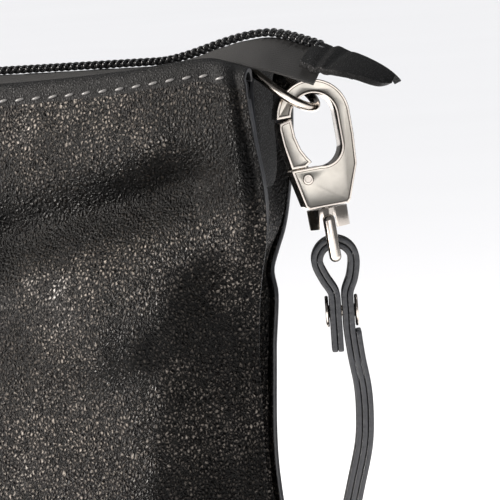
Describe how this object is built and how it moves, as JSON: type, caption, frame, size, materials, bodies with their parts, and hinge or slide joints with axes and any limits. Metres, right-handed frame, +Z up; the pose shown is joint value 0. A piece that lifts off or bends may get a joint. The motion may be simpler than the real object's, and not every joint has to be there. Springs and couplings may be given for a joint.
{
  "type": "makeup bag",
  "caption": "Black pebbled leather zip-top makeup bag with a side ring, a swivel snap hook and a thin riveted wrist strap",
  "frame": {"origin": "centre of the flat base", "axes": "+Z up, -Y the front wall, +X the side with the ring and the strap"},
  "size_m": [0.3698, 0.0736, 0.1515],
  "materials": {
    "black_leather": "pebbled, semi-gloss",
    "edge_leather": "smooth with painted edges",
    "lining_cloth": "plain weave, matte",
    "zip_tape": "woven tape, matte",
    "zip_nylon": "moulded nylon",
    "nickel": "satin nickel plate",
    "ring_nickel": "polished nickel plate",
    "board": "plain fibre board"
  },
  "bodies": {
    "bag": {"front_panel": "black_leather", "back_panel": "black_leather", "base_panel": "black_leather", "base_stiffener": "board", "gusset_right": "black_leather", "gusset_left": "black_leather", "front_hem": "black_leather", "back_hem": "black_leather", "lining_front": "lining_cloth", "lining_back": "lining_cloth", "lining_base": "lining_cloth", "lining_gusset_right": "lining_cloth", "lining_gusset_left": "lining_cloth", "zip_tape_front": "zip_tape", "zip_tape_back": "zip_tape", "zip_coil_front": "zip_nylon", "zip_coil_back": "zip_nylon", "zip_top_stops": "nickel", "zip_bottom_stop": "nickel", "zip_end_tab": "edge_leather", "ring_keeper": "edge_leather"},
    "slider": {"zip_slider_body": "nickel", "zip_slider_crown": "nickel"},
    "pull": {"zip_pull_link": "nickel", "zip_pull_tab": "black_leather"},
    "ring": {"side_ring": "ring_nickel"},
    "clasp": {"clasp_body": "nickel", "gate_pin": "nickel", "gate_spring": "nickel"},
    "gate": {"clasp_gate": "nickel"},
    "swivel": {"swivel_stem": "ring_nickel", "swivel_eye": "ring_nickel"},
    "strap": {"strap_core": "black_leather", "strap_backing": "edge_leather", "strap_rivet": "nickel", "hand_loop_rivet": "nickel"}
  },
  "joints": [
    {"name": "zip_slide", "type": "slide", "parent": "bag", "child": "slider", "axis": [1, 0, 0], "range_m": [0, 0.168], "deforming": ["zip_coil_front", "zip_coil_back"]},
    {"name": "pull_flip", "type": "hinge", "parent": "slider", "child": "pull", "pos_m": [-0.092, 0, 0.14875], "axis": [0, 1, 0], "range_deg": [0, 170]},
    {"name": "ring_swing", "type": "hinge", "parent": "bag", "child": "ring", "pos_m": [0.10257, 0, 0.1441], "axis": [0, 1, 0], "range_deg": [-5, 4]},
    {"name": "clasp_swing", "type": "hinge", "parent": "ring", "child": "clasp", "pos_m": [0.11391, 0.0016, 0.13459], "axis": [0, 1, 0], "range_deg": [-25, 1.5]},
    {"name": "clasp_swivel", "type": "hinge", "parent": "clasp", "child": "swivel", "pos_m": [0.11219, 0.00061, 0.14021], "axis": [-0.0982, -0.0358, 0.9945], "range_deg": [-50, 50]},
    {"name": "strap_swing", "type": "hinge", "parent": "swivel", "child": "strap", "pos_m": [0.1157, 0.00189, 0.10466], "axis": [-0.342, 0.9397, 0], "range_deg": [-45, 1.5]},
    {"name": "gate_open", "type": "hinge", "parent": "clasp", "child": "gate", "pos_m": [0.11142, -0.00052, 0.12019], "axis": [-0.5579, 0.8295, -0.0253], "range_deg": [0, 25], "stiffness_Nm_per_rad": 0.015, "springref_deg": -14.9, "deforming": ["gate_spring"]}
  ]
}
